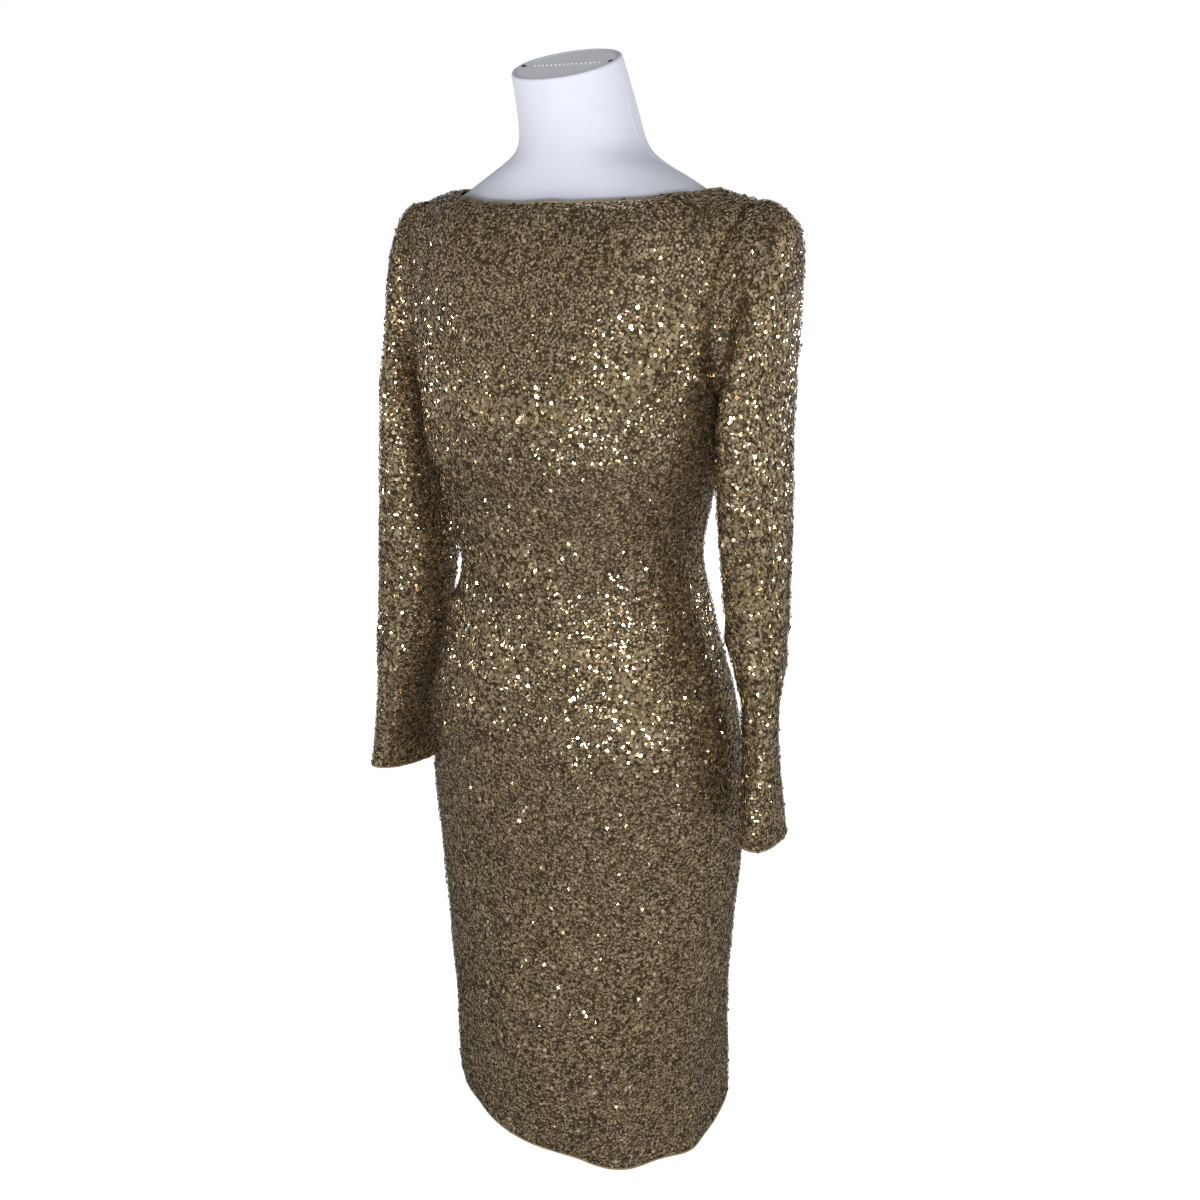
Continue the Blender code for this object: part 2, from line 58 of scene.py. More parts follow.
# The cloth
PANELS = ("dress_front", "dress_back")
SLEEVES = ("sleeve_left", "sleeve_right")
SKIN_REACH = 0.0026         # a face of the wall has the other skin closer than this behind it
OUTWARD = 0.1               # and faces away from the middle line, by this cosine or more,
SHOULDER_DROP = 0.10        # which stops this far below the neck point
MIDDLE_RINGS = 30           # heights where the middle of a sleeve is worked out,
MIDDLE_REACH = 0.030        # from its points this close in height
CLOTH_LEVELS = 2
FORM_LEVELS = 2
NET_DEPTH = 0.0006          # the net lies this far inside the wall's outer skin
NET_THICKNESS = 0.0007
FORM_CLEARANCE = 0.0022
ROUNDING_PASSES = 5
ROUNDING_STEP = 0.9
SEAM_DIP = 0.0012
SEAM_REACH = 0.005
HEM_BAND = 0.012            # an open edge this low is a hem or a cuff
NECK_BAND = (0.128, 0.03)   # a neckline's greatest radius and drop
CAP_EASE = (0.03, 0.06)     # the drop where a sleeve's creases begin, and how soon they are full
# Slow unevenness: each wave's height, its number round, its radians a metre down, where it starts
# and how much of the piece's own phase it takes
Wave = namedtuple("Wave", "height around down start own")
WAVES = (
    Wave(0.0007, 3, 21, 0.0, 1.0),
    Wave(0.0005, 7, -38, 2.1, 0.0),
    Wave(0.0004, 11, 63, 0.0, 1.3),
    Wave(0.0003, 17, -90, 0.7, 0.0),
)
BODY_PHASE = 0.4
SLEEVE_PHASE = 2.0
SLEEVE_SWELL = 0.8          # a sleeve's waves are this share of the body's

# The sequins
SEQUIN_RADIUS = 0.00145
LOOSE_RADIUS = 0.0020
SEQUIN_SPACING = 0.00215
SEQUIN_DENSITY = 700000     # candidates a square metre
SEQUIN_LIFT = (0.0001, 0.0007)
LOOSE_LIFT = 0.0007         # how much further out a loose one hangs
SEQUIN_TILT = 6.5           # most sequins lean about this many degrees
LOOSE_SHARE = 0.07          # and a few hang loose
LOOSE_TILT = 12.0
SEQUIN_CREASE = 3.0         # degrees, as its spread
SEQUIN_SIDES = 6
SEQUIN_SIZES = (0.92, 1.06)
SEQUIN_METAL = 0.80
SEQUINS_A_PIECE = 48000
Tint = namedtuple("Tint", "name share colour roughness")
TINTS = (
    Tint("sequin_gold", 0.44, (0.54, 0.405, 0.235), 0.12),
    Tint("sequin_champagne", 0.20, (0.76, 0.60, 0.385), 0.12),
    Tint("sequin_bronze", 0.22, (0.34, 0.245, 0.135), 0.15),
    Tint("sequin_umber", 0.14, (0.13, 0.088, 0.045), 0.20),
)

# Edges and the dress form
BINDING_RADIUS = 0.0012     # thread wound along the neckline
HEM_RADIUS = 0.0011         # the turned edge of the hem and the cuffs
NECK_HALF_WIDTH = 0.139
FORM_INSET = 0.0012         # the form's cover lies this far inside its solid under the dress
NECK_CUT_TILT = 20.0        # the top of the neck slopes down to the front by this
RIM_RADIUS = 0.0019         # the cover's roll round the top of the neck, in front and behind
RIM_SWELL = 0.0008          # and how much thicker it is at the sides
CAP_THICKNESS = 0.0023
CAP_SINK = 0.0013           # the cap lies this far lower than its solid
STITCHES = 16
STITCH_ROW_HALF = 0.036
STITCH_SAG = 0.0016
STITCH_LENGTH = 0.0026
STITCH_RADIUS = 0.0009
STITCH_LIFT = 0.0006
STITCH_TAPER = ((-1, 0.3), (-0.6, 0.8), (0, 1), (0.6, 0.8), (1, 0.3))
# The two gathers are near-black beads, painted shadow for the shaded hollows of the puckered cover.
GATHER_INSET = 0.0062       # the row's two gathers lie this far inside the neck's sides
GATHER_HALF = 0.0032
GATHER_TAPER = ((-1, 0.0001), (-0.5, 0.0009), (0, 0.0013), (0.5, 0.0010), (1, 0.0002))
NECK_RISE = 0.07            # the neck's sloping top is within this of its highest point
SEAM_RADIUS = 0.0006
SEAM_ENDS = (0.100, -0.010)     # heights of a side seam's ends over the neck point
SEAM_POINTS = 34
SEAM_SHIFT = -0.034         # the neck leans this far forward 0.1 m up
SEAM_HEADING = 0.12         # the seams lie a little behind the neck's sides

# A cut of cloth: width, length and area; no piece is given one here
Cut = namedtuple("Cut", "width length area")
FIRST_SEED = 11             # the first cloth piece's; the others follow

# Creases in the body's cloth: a path of (turn, drop) points, a height and a width
Crease = namedtuple("Crease", "path height width")
CREASE_START = (0.35, 0.25)     # its strength at its start, and the share of its length to swell in
CREASE_FADE = 0.35              # the share of its length that fades out at its end
BODY_CREASES = (
    # the fan gathered at the wearer's right waist
    Crease(((-88, 0.365), (-51, 0.405), (-21, 0.434), (-3, 0.464), (12, 0.500)), -0.0026, 0.020),
    Crease(((-86, 0.345), (-37, 0.377), (-15, 0.412), (1, 0.451)), -0.0024, 0.018),
    Crease(((-86, 0.385), (-50, 0.425), (-27, 0.440), (-11, 0.451), (10, 0.470)), 0.0026, 0.016),
    Crease(((-86, 0.430), (-50, 0.462), (-20, 0.474), (5, 0.485), (16, 0.492)), 0.0022, 0.018),
    Crease(((-86, 0.450), (-50, 0.483), (-20, 0.492), (4, 0.506)), -0.0022, 0.020),
    Crease(((-86, 0.470), (-50, 0.497), (-25, 0.508), (-3, 0.524), (8, 0.540)), 0.0020, 0.018),
    Crease(((-88, 0.330), (-50, 0.340), (-20, 0.352), (0, 0.372)), 0.0018, 0.022),
    Crease(((-5, 0.290), (3, 0.315), (14, 0.349), (25, 0.384), (30, 0.410)), -0.0026, 0.030),
    Crease(((10, 0.300), (25, 0.335), (38, 0.372)), 0.0015, 0.026),
    # across the bust and up to the armhole
    Crease(((-42, 0.205), (-20, 0.212), (5, 0.214), (34, 0.200)), 0.0016, 0.026),
    Crease(((37, 0.197), (47, 0.158), (53, 0.132), (59, 0.106), (66, 0.082)), 0.0030, 0.024),
    Crease(((46, 0.205), (58, 0.165), (66, 0.130)), -0.0022, 0.022),
    Crease(((-40, 0.190), (-52, 0.150), (-60, 0.110)), 0.0022, 0.022),
    Crease(((-48, 0.225), (-62, 0.185)), -0.0018, 0.020),
    # the front of the hips and the skirt
    Crease(((47, 0.350), (52, 0.420), (50, 0.520), (44, 0.600)), 0.0022, 0.034),
    Crease(((70, 0.380), (68, 0.450), (72, 0.540)), -0.0016, 0.024),
    Crease(((-24, 0.700), (-22, 0.771), (-19, 0.830), (-16, 0.900)), -0.0022, 0.026),
    Crease(((52, 0.690), (56, 0.770), (54, 0.860), (60, 0.930)), 0.0020, 0.026),
    Crease(((24, 0.760), (26, 0.850), (22, 0.950)), -0.0016, 0.030),
    # the back: drag lines into the small of the back and from the same side gathers
    Crease(((-92, 0.370), (-120, 0.395), (-150, 0.440)), -0.0024, 0.020),
    Crease(((-94, 0.400), (-122, 0.428), (-150, 0.470)), 0.0024, 0.018),
    Crease(((-94, 0.435), (-120, 0.462), (-146, 0.505)), -0.0022, 0.020),
    Crease(((-94, 0.460), (-118, 0.490), (-140, 0.530)), 0.0018, 0.020),
    Crease(((100, 0.345), (140, 0.352), (178, 0.342), (220, 0.350)), -0.0022, 0.022),
    Crease(((110, 0.372), (150, 0.384), (190, 0.376), (215, 0.380)), 0.0022, 0.020),
    Crease(((120, 0.405), (160, 0.412), (200, 0.404)), -0.0016, 0.020),
    Crease(((128, 0.120), (142, 0.190), (150, 0.260)), 0.0022, 0.028),
    Crease(((-122, 0.110), (-140, 0.180), (-150, 0.250)), 0.0020, 0.026),
    Crease(((112, 0.180), (128, 0.230), (140, 0.290)), -0.0018, 0.024),
    Crease(((178, 0.560), (184, 0.680), (176, 0.800)), -0.0018, 0.034),
    Crease(((130, 0.600), (126, 0.720), (132, 0.880)), 0.0018, 0.030),
    Crease(((-132, 0.640), (-128, 0.760), (-134, 0.900)), 0.0018, 0.030),
)
# Stretches where more sequins hang loose: a path, the share of them in place of a height, a width
BODY_LOOSE = (
    Crease(((-42, 0.188), (-20, 0.196), (5, 0.199), (36, 0.197)), 1.00, 0.032),
    Crease(((37, 0.197), (47, 0.158), (53, 0.132), (59, 0.106), (66, 0.082)), 1.00, 0.030),
    Crease(((-44, 0.215), (-40, 0.270), (-34, 0.330)), 0.40, 0.050),
    Crease(((-20, 0.335), (0, 0.345), (25, 0.340)), 0.60, 0.080),
    Crease(((-28, 0.400), (-18, 0.450), (-14, 0.520), (-4, 0.560)), 0.60, 0.060),
    Crease(((-32, 0.415), (-12, 0.446), (4, 0.470)), 0.70, 0.024),
    Crease(((-8, 0.425), (18, 0.425), (42, 0.435)), 0.55, 0.034),
    Crease(((44, 0.430), (49, 0.480), (49, 0.530), (46, 0.575)), 1.00, 0.050),
    Crease(((78, 0.470), (82, 0.530), (80, 0.580)), 0.45, 0.040),
    Crease(((62, 0.700), (57, 0.740), (52, 0.790), (50, 0.860)), 0.50, 0.036),
    Crease(((-6, 0.690), (16, 0.705), (36, 0.700)), 0.35, 0.028),
    Crease(((-20, 0.780), (10, 0.800), (40, 0.800)), 0.18, 0.220),
    Crease(((140, 0.160), (160, 0.240), (190, 0.240), (215, 0.170)), 0.70, 0.034),
    Crease(((120, 0.420), (150, 0.500), (185, 0.520), (220, 0.470)), 0.60, 0.080),
    Crease(((150, 0.700), (165, 0.800), (172, 0.880)), 0.40, 0.050),
)
SLEEVE_LOOSE = (
    Crease(((30, 0.060), (36, 0.100)), 0.90, 0.036),
    Crease(((20, 0.130), (30, 0.300), (20, 0.450), (30, 0.580)), 0.55, 0.070),
    Crease(((64, 0.110), (66, 0.240), (62, 0.400), (66, 0.560)), 0.60, 0.026),
    Crease(((190, 0.150), (170, 0.320), (185, 0.520)), 0.45, 0.070),
)
# Creases in the sleeves, as (angle, drop) points
SLEEVE_CREASES = {
    "sleeve_left": (
        Crease(((55, 0.110), (62, 0.200), (58, 0.300), (66, 0.370)), 0.0022, 0.020),
        Crease(((-20, 0.150), (-10, 0.230), (-22, 0.320)), -0.0018, 0.022),
        Crease(((-95, 0.375), (-40, 0.392), (10, 0.412), (60, 0.430)), -0.0030, 0.014),
        Crease(((-95, 0.395), (-50, 0.412), (-10, 0.432)), 0.0028, 0.012),
        Crease(((-95, 0.418), (-50, 0.436), (0, 0.452), (40, 0.470)), -0.0028, 0.013),
        Crease(((-100, 0.440), (-50, 0.458), (-12, 0.478)), 0.0024, 0.012),
        Crease(((-80, 0.470), (-30, 0.486), (30, 0.500), (80, 0.505)), -0.0026, 0.014),
        Crease(((-60, 0.500), (-20, 0.515), (30, 0.527)), 0.0022, 0.014),
        Crease(((90, 0.400), (130, 0.420), (180, 0.440)), -0.0022, 0.016),
        Crease(((100, 0.430), (150, 0.452), (200, 0.462)), 0.0020, 0.014),
        Crease(((60, 0.478), (110, 0.486), (160, 0.500)), -0.0026, 0.014),
        Crease(((-30, 0.545), (20, 0.556), (70, 0.566)), -0.0014, 0.014),
        Crease(((120, 0.140), (126, 0.240), (118, 0.340)), 0.0016, 0.024),
    ),
    "sleeve_right": (
        Crease(((40, 0.120), (52, 0.210), (44, 0.320)), 0.0020, 0.022),
        Crease(((-30, 0.170), (-20, 0.260), (-34, 0.350)), 0.0024, 0.022),
        Crease(((-62, 0.200), (-52, 0.280), (-64, 0.360)), -0.0022, 0.020),
        Crease(((-110, 0.430), (-70, 0.452), (-20, 0.470), (20, 0.478)), 0.0024, 0.014),
        Crease(((-120, 0.485), (-80, 0.505), (-50, 0.515), (-20, 0.530)), -0.0030, 0.014),
        Crease(((-110, 0.510), (-70, 0.528), (-30, 0.545)), 0.0026, 0.013),
        Crease(((-100, 0.400), (-60, 0.418), (-10, 0.430)), -0.0022, 0.014),
        Crease(((30, 0.440), (80, 0.455), (130, 0.462)), -0.0020, 0.015),
        Crease(((40, 0.470), (90, 0.484), (140, 0.490)), 0.0018, 0.014),
        Crease(((60, 0.500), (110, 0.512), (170, 0.520)), -0.0022, 0.014),
        Crease(((-90, 0.560), (-50, 0.568), (0, 0.560)), -0.0016, 0.014),
        Crease(((120, 0.150), (128, 0.250), (120, 0.350)), -0.0018, 0.022),
    ),
}


# ---------------------------------------------------------------- small helpers

def smoothstep(t):
    t = np.clip(t, 0, 1)
    return t * t * (3 - 2 * t)


def add_mesh(name, mesh):
    made = bpy.data.objects.new(name, mesh)
    bpy.context.scene.collection.objects.link(made)
    return made


def points_of(mesh):
    places = np.zeros(len(mesh.vertices) * 3)
    mesh.vertices.foreach_get("co", places)
    return places.reshape(-1, 3)


def normals_of(mesh):
    facing = np.zeros(len(mesh.vertices) * 3)
    mesh.vertex_normals.foreach_get("vector", facing)
    return facing.reshape(-1, 3)


def set_points(mesh, places):
    mesh.vertices.foreach_set("co", np.asarray(places, dtype=np.float32).ravel())
    mesh.update()


def applied(piece):
    """Replaces a piece's mesh with what its modifiers make of it."""
    graph = bpy.context.evaluated_depsgraph_get()
    mesh = bpy.data.meshes.new_from_object(piece.evaluated_get(graph))
    piece.modifiers.clear()
    piece.data = mesh
    return mesh


def rounded(piece, levels):
    """Subdivides a piece smoothly, so that the new surface still goes through its own points."""
    rounding = piece.modifiers.new("rounding", "SUBSURF")
    rounding.levels = levels
    rounding.boundary_smooth = "PRESERVE_CORNERS"
    wanted = points_of(piece.data)
    graph = bpy.context.evaluated_depsgraph_get()
    for _ in range(ROUNDING_PASSES):
        graph.update()
        reached = points_of(piece.evaluated_get(graph).data)[:len(wanted)]
        set_points(piece.data, points_of(piece.data) + ROUNDING_STEP * (wanted - reached))
    graph.update()
    return applied(piece)


# ---------------------------------------------------------------- materials

def new_material(name):
    made = bpy.data.materials.new(name)
    made.use_nodes = True
    return made, made.node_tree, made.node_tree.nodes["Principled BSDF"]


def add_node(tree, kind, **inputs):
    node = tree.nodes.new(kind)
    for name, value in inputs.items():
        node.inputs[name.replace("_", " ")].default_value = value
    return node


def object_places(tree):
    return tree.nodes.new("ShaderNodeTexCoord").outputs["Object"]


def add_bump(tree, shader, height, distance, strength):
    bump = add_node(tree, "ShaderNodeBump", Distance=distance, Strength=strength)
    tree.links.new(height, bump.inputs["Height"])
    tree.links.new(bump.outputs["Normal"], shader.inputs["Normal"])


def ramp(tree, factor, stops):
    node = tree.nodes.new("ShaderNodeValToRGB")
    node.color_ramp.elements[0].position, node.color_ramp.elements[0].color = stops[0]
    node.color_ramp.elements[1].position, node.color_ramp.elements[1].color = stops[-1]
    for place, colour in stops[1:-1]:
        node.color_ramp.elements.new(place).color = colour
    tree.links.new(factor, node.inputs["Fac"])
    return node.outputs["Color"]


def sequin_material(tint):
    made, _, shader = new_material(tint.name)
    shader.inputs["Base Color"].default_value = (*tint.colour, 1)
    shader.inputs["Metallic"].default_value = SEQUIN_METAL
    shader.inputs["Roughness"].default_value = tint.roughness
    return made


def net_material():
    """Dark brown knitted net under the sequins, with its open cells."""
    made, tree, shader = new_material("brown_net")
    cells = add_node(tree, "ShaderNodeTexVoronoi", Scale=900.0)
    cells.feature = "DISTANCE_TO_EDGE"
    tree.links.new(object_places(tree), cells.inputs["Vector"])
    colour = ramp(tree, cells.outputs["Distance"],
                  ((0.0, (0.075, 0.052, 0.026, 1)), (0.35, (0.022, 0.015, 0.008, 1))))
    tree.links.new(colour, shader.inputs["Base Color"])
    shader.inputs["Roughness"].default_value = 0.85
    add_bump(tree, shader, cells.outputs["Distance"], 0.0003, 0.8)
    return made


def binding_material():
    """Beige thread wound along the folded edge of the neckline."""
    made, tree, shader = new_material("edge_binding")
    waves = add_node(tree, "ShaderNodeTexWave", Scale=420.0, Distortion=1.5)
    tree.links.new(object_places(tree), waves.inputs["Vector"])
    colour = ramp(tree, waves.outputs["Fac"],
                  ((0.2, (0.16, 0.115, 0.06, 1)), (0.8, (0.42, 0.33, 0.21, 1))))
    tree.links.new(colour, shader.inputs["Base Color"])
    shader.inputs["Roughness"].default_value = 0.6
    add_bump(tree, shader, waves.outputs["Fac"], 0.0003, 0.6)
    return made


def knit_material(name, low, high):
    """Fine white stretch knit: rows of small ribs over a soft unevenness."""
    made, tree, shader = new_material(name)
    places = object_places(tree)
    ribs = add_node(tree, "ShaderNodeTexWave", Scale=330.0, Distortion=0.6, Detail=1.0)
    ribs.bands_direction = "Z"
    tree.links.new(places, ribs.inputs["Vector"])
    cloudy = add_node(tree, "ShaderNodeTexNoise", Scale=14.0, Detail=4.0, Roughness=0.55)
    tree.links.new(places, cloudy.inputs["Vector"])
    colour = ramp(tree, cloudy.outputs["Fac"], ((0.3, (*low, 1)), (0.7, (*high, 1))))
    tree.links.new(colour, shader.inputs["Base Color"])
    shader.inputs["Roughness"].default_value = 0.75
    shader.inputs["Sheen Weight"].default_value = 0.10
    add_bump(tree, shader, ribs.outputs["Fac"], 0.0002, 0.25)
    return made


def plain_material(name, colour, roughness):
    made, _, shader = new_material(name)
    shader.inputs["Base Color"].default_value = (*colour, 1)
    shader.inputs["Roughness"].default_value = roughness
    return made


def metal_material():
    made, tree, shader = new_material("satin_steel")
    shader.inputs["Base Color"].default_value = (0.62, 0.62, 0.63, 1)
    shader.inputs["Metallic"].default_value = 1.0
    grain = add_node(tree, "ShaderNodeTexNoise", Scale=60.0, Detail=6.0)
    stretch = add_node(tree, "ShaderNodeMapping", Scale=(1.0, 1.0, 40.0))
    tree.links.new(object_places(tree), stretch.inputs["Vector"])
    tree.links.new(stretch.outputs["Vector"], grain.inputs["Vector"])
    rough = add_node(tree, "ShaderNodeMapRange", To_Min=0.28, To_Max=0.48)
    tree.links.new(grain.outputs["Fac"], rough.inputs["Value"])
    tree.links.new(rough.outputs["Result"], shader.inputs["Roughness"])
    return made


# ---------------------------------------------------------------- the cloth

def middle_line(places, name):
    """A function from a height to the middle of the hollow there, as (x, y)."""
    if name in PANELS:
        return lambda z: (0.0, 0.0)
    levels = np.linspace(places[:, 2].min(), places[:, 2].max() - 0.040, MIDDLE_RINGS)
    middles = []
    for level in levels:
        near = places[np.abs(places[:, 2] - level) < MIDDLE_REACH]
        middles.append((near.min(axis=0) + near.max(axis=0)) / 2)
    middles = np.array(middles)
    return lambda z: (np.interp(z, levels, middles[:, 0]), np.interp(z, levels, middles[:, 1]))


def outer_skin(name):
    """The outside of a CAD cloth wall as one open sheet of quads."""
    bm = bmesh.new()
    bm.from_mesh(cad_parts[name].data)
    bmesh.ops.remove_doubles(bm, verts=bm.verts, dist=1e-5)
    bm.normal_update()
    tree = BVHTree.FromBMesh(bm)
    middle = middle_line(np.array([v.co for v in bm.verts]), name)
    top = NECK_POINT - SHOULDER_DROP
    outside = set()
    for face in bm.faces:
        centre = face.calc_center_median()
        level = min(centre.z, top)
        away = centre - Vector((*middle(level), level))
        hit = tree.ray_cast(centre - face.normal * 1e-4, -face.normal, SKIN_REACH)
        if hit[0] is not None and away.normalized().dot(face.normal) > OUTWARD:
            outside.add(face)
    skin = largest_region(outside)
    corners = {vert for face in skin for vert in face.verts}
    spare = [face for face in bm.faces if not all(vert in corners for vert in face.verts)]
    bmesh.ops.delete(bm, geom=spare, context="FACES")
    bmesh.ops.join_triangles(bm, faces=bm.faces[:], angle_face_threshold=math.pi,
                             angle_shape_threshold=math.pi)
    mesh = bpy.data.meshes.new(name + "_skin")
    bm.to_mesh(mesh)
    bm.free()
    return mesh


def largest_region(faces):
    """The most faces that are joined edge to edge."""
    left = set(faces)
    best = set()
    while left:
        todo = [left.pop()]
        region = set(todo)
        while todo:
            face = todo.pop()
            near = {other for edge in face.edges for other in edge.link_faces} & left
            left -= near
            region |= near
            todo.extend(near)
        best = max(best, region, key=len)
    return best


def turned_from(start, end, angle):
    """Angles measured from a path's first one, the short way round from the path's middle."""
    half = (end - start) / 2
    return (angle - start - half + 180) % 360 - 180 + half


def nearest_on(path, here):
    """How far each point is from a path, and the share of the path's length to that place."""
    lengths = np.linalg.norm(np.diff(path, axis=0), axis=1)
    nearest = np.full(len(here), 1.0)
    along = np.zeros(len(here))
    run = 0.0
    for a, b, length in zip(path, path[1:], lengths):
        t = np.clip(((here - a) @ (b - a)) / length ** 2, 0, 1)
        gap = np.linalg.norm(here - a - t[:, None] * (b - a), axis=1)
        closer = gap < nearest
        nearest[closer] = gap[closer]
        along[closer] = run + t[closer] * length
        run += length
    return nearest, along / run


def crease_relief(creases, angle, drop, radius):
    """Height of all the creases at each point of the unrolled cloth. Their ends fade out."""
    total = np.zeros(len(drop))
    for crease in creases:
        path = np.array(crease.path, dtype=float)
        first, last = path[0, 0], path[-1, 0]
        flat = np.column_stack([np.radians(path[:, 0] - first) * radius, path[:, 1]])
        here = np.column_stack([np.radians(turned_from(first, last, angle)) * radius, drop])
        gap, share = nearest_on(flat, here)
        strength, swelling = CREASE_START
        ends = smoothstep(share / swelling + strength) * smoothstep((1 - share) / CREASE_FADE)
        total += crease.height * ends * np.exp(-(gap / (crease.width / 2)) ** 2)
    return total


def swell(angle, drop, phase):
    """Slow unevenness of the cloth, a millimetre or so."""
    a = np.radians(angle)
    total = 0
    for wave in WAVES:
        start = wave.start + wave.own * phase
        total = total + wave.height * np.sin(wave.around * a + wave.down * drop + start)
    return total


def open_edge(mesh):
    """The vertices on a sheet's open edges."""
    loops = np.zeros(len(mesh.loops), dtype=int)
    mesh.loops.foreach_get("edge_index", loops)
    uses = np.bincount(loops, minlength=len(mesh.edges))
    ends = np.zeros(len(mesh.edges) * 2, dtype=int)
    mesh.edges.foreach_get("vertices", ends)
    return np.unique(ends.reshape(-1, 2)[uses == 1])


def seam_dip(mesh, places, hem):
    """How far the cloth is drawn in beside a seam. Hem, cuffs and neckline aren't seams."""
    rim = open_edge(mesh)
    rim = rim[places[rim, 2] > hem + HEM_BAND]
    radius, depth = NECK_BAND
    on_neck = ((np.hypot(places[rim, 0], places[rim, 1]) < radius)
               & (places[rim, 2] > NECK_POINT - depth))
    rim = rim[~on_neck]
    near = KDTree(len(rim))
    for i, vert in enumerate(rim):
        near.insert(places[vert], i)
    near.balance()
    gap = np.array([near.find(place)[2] for place in places])
    return SEAM_DIP * np.exp(-(gap / SEAM_REACH) ** 2)


def keep_clear(places, facing, gap):
    """Moves points out that come too close to the dress form."""
    torso = bmesh.new()
    torso.from_mesh(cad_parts["form_torso"].data)
    tree = BVHTree.FromBMesh(torso)
    torso.free()
    for i, place in enumerate(places):
        hit = tree.find_nearest(Vector(place), gap * 2)
        if hit[0] is None:
            continue
        out = (Vector(place) - hit[0]).dot(hit[1])
        if out < gap:
            places[i] += facing[i] * (gap - out)
    return places


def unrolled(places, middle, name):
    """The turn or angle, in degrees, and the drop of each point of a cloth piece."""
    mx, my = middle(places[:, 2])
    hand = -1 if name == "sleeve_right" else 1
    angle = np.degrees(np.arctan2(hand * (places[:, 0] - mx), -(places[:, 1] - my)))
    return angle, NECK_POINT - places[:, 2]


def cloth_surface(name):
    """The finished outer surface of one cloth piece: smooth, creased and drawn in at its seams."""
    mesh = outer_skin(name)
    raw = points_of(mesh)
    piece = add_mesh(name + "_cloth", mesh)
    mesh = rounded(piece, CLOTH_LEVELS)
    places, facing = points_of(mesh), normals_of(mesh)
    middle = middle_line(raw, name)
    angle, drop = unrolled(places, middle, name)
    if name in PANELS:
        relief = crease_relief(BODY_CREASES, angle, drop, BODY_RADIUS)
        relief += swell(angle, drop, BODY_PHASE)
    else:
        relief = crease_relief(SLEEVE_CREASES[name], angle, drop, SLEEVE_RADIUS)
        relief += SLEEVE_SWELL * swell(angle, drop, SLEEVE_PHASE + SLEEVES.index(name))
        start, reach = CAP_EASE
        relief *= smoothstep((drop - start) / reach)
    hem = places[:, 2].min()
    relief -= seam_dip(mesh, places, hem)
    places = places + facing * relief[:, None]
    if name in PANELS:
        places = keep_clear(places, facing, FORM_CLEARANCE)
    set_points(mesh, places)
    mesh.shade_smooth()
    return piece, middle


def build_net(piece, name):
    """Turns the cloth surface into the thin net that carries the sequins."""
    mesh = piece.data
    set_points(mesh, points_of(mesh) - normals_of(mesh) * NET_DEPTH)
    wall = piece.modifiers.new("wall", "SOLIDIFY")
    wall.thickness = NET_THICKNESS
    wall.offset = -1
    applied(piece)
    piece.data.materials.clear()
    piece.data.materials.append(NET)
    piece.data.shade_smooth()
    piece.name = name + "_net"
    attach(piece, "root")
    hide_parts(name)
    return piece


# ---------------------------------------------------------------- the sequins

def scatter_group(seed):
    """Geometry nodes that spread points evenly over a surface and keep which way it faces."""
    group = bpy.data.node_groups.new("scatter", "GeometryNodeTree")
    group.interface.new_socket("Geometry", in_out="INPUT", socket_type="NodeSocketGeometry")
    group.interface.new_socket("Geometry", in_out="OUTPUT", socket_type="NodeSocketGeometry")
    start = group.nodes.new("NodeGroupInput")
    end = group.nodes.new("NodeGroupOutput")
    spread = group.nodes.new("GeometryNodeDistributePointsOnFaces")
    spread.distribute_method = "POISSON"
    spread.inputs["Distance Min"].default_value = SEQUIN_SPACING
    spread.inputs["Density Max"].default_value = SEQUIN_DENSITY
    spread.inputs["Seed"].default_value = seed
    store = group.nodes.new("GeometryNodeStoreNamedAttribute")
    store.data_type = "FLOAT_VECTOR"
    store.inputs["Name"].default_value = "facing"
    verts = group.nodes.new("GeometryNodePointsToVertices")
    links = group.links
    links.new(start.outputs[0], spread.inputs["Mesh"])
    links.new(spread.outputs["Points"], store.inputs["Geometry"])
    links.new(spread.outputs["Normal"], store.inputs["Value"])
    links.new(store.outputs["Geometry"], verts.inputs["Points"])
    links.new(verts.outputs["Mesh"], end.inputs[0])
    return group


def scatter(piece, seed):
    """Evenly spread places on a surface, and which way it faces at each."""
    copy = add_mesh("scatter", piece.data.copy())
    step = copy.modifiers.new("scatter", "NODES")
    step.node_group = scatter_group(seed)
    mesh = applied(copy)
    facing = np.zeros(len(mesh.vertices) * 3)
    mesh.attributes["facing"].data.foreach_get("vector", facing)
    places = points_of(mesh)
    bpy.data.objects.remove(copy)
    return places, facing.reshape(-1, 3)


def leaning(facing, hangs, rng):
    """Each sequin's own three axes, leant at random away from the surface."""
    count = len(facing)
    aside = np.cross(facing, rng.normal(size=(count, 3)))
    aside /= np.linalg.norm(aside, axis=1, keepdims=True)
    spread = np.where(hangs, LOOSE_TILT, SEQUIN_TILT)
    lean = np.radians(spread * rng.rayleigh(size=count))[:, None]
    up = facing * np.cos(lean) + np.cross(aside, facing) * np.sin(lean)
    turn = rng.random(count)[:, None] * 2 * math.pi
    across = np.cross(up, aside)
    first = aside * np.cos(turn) + across * np.sin(turn)
    return first, np.cross(up, first), up


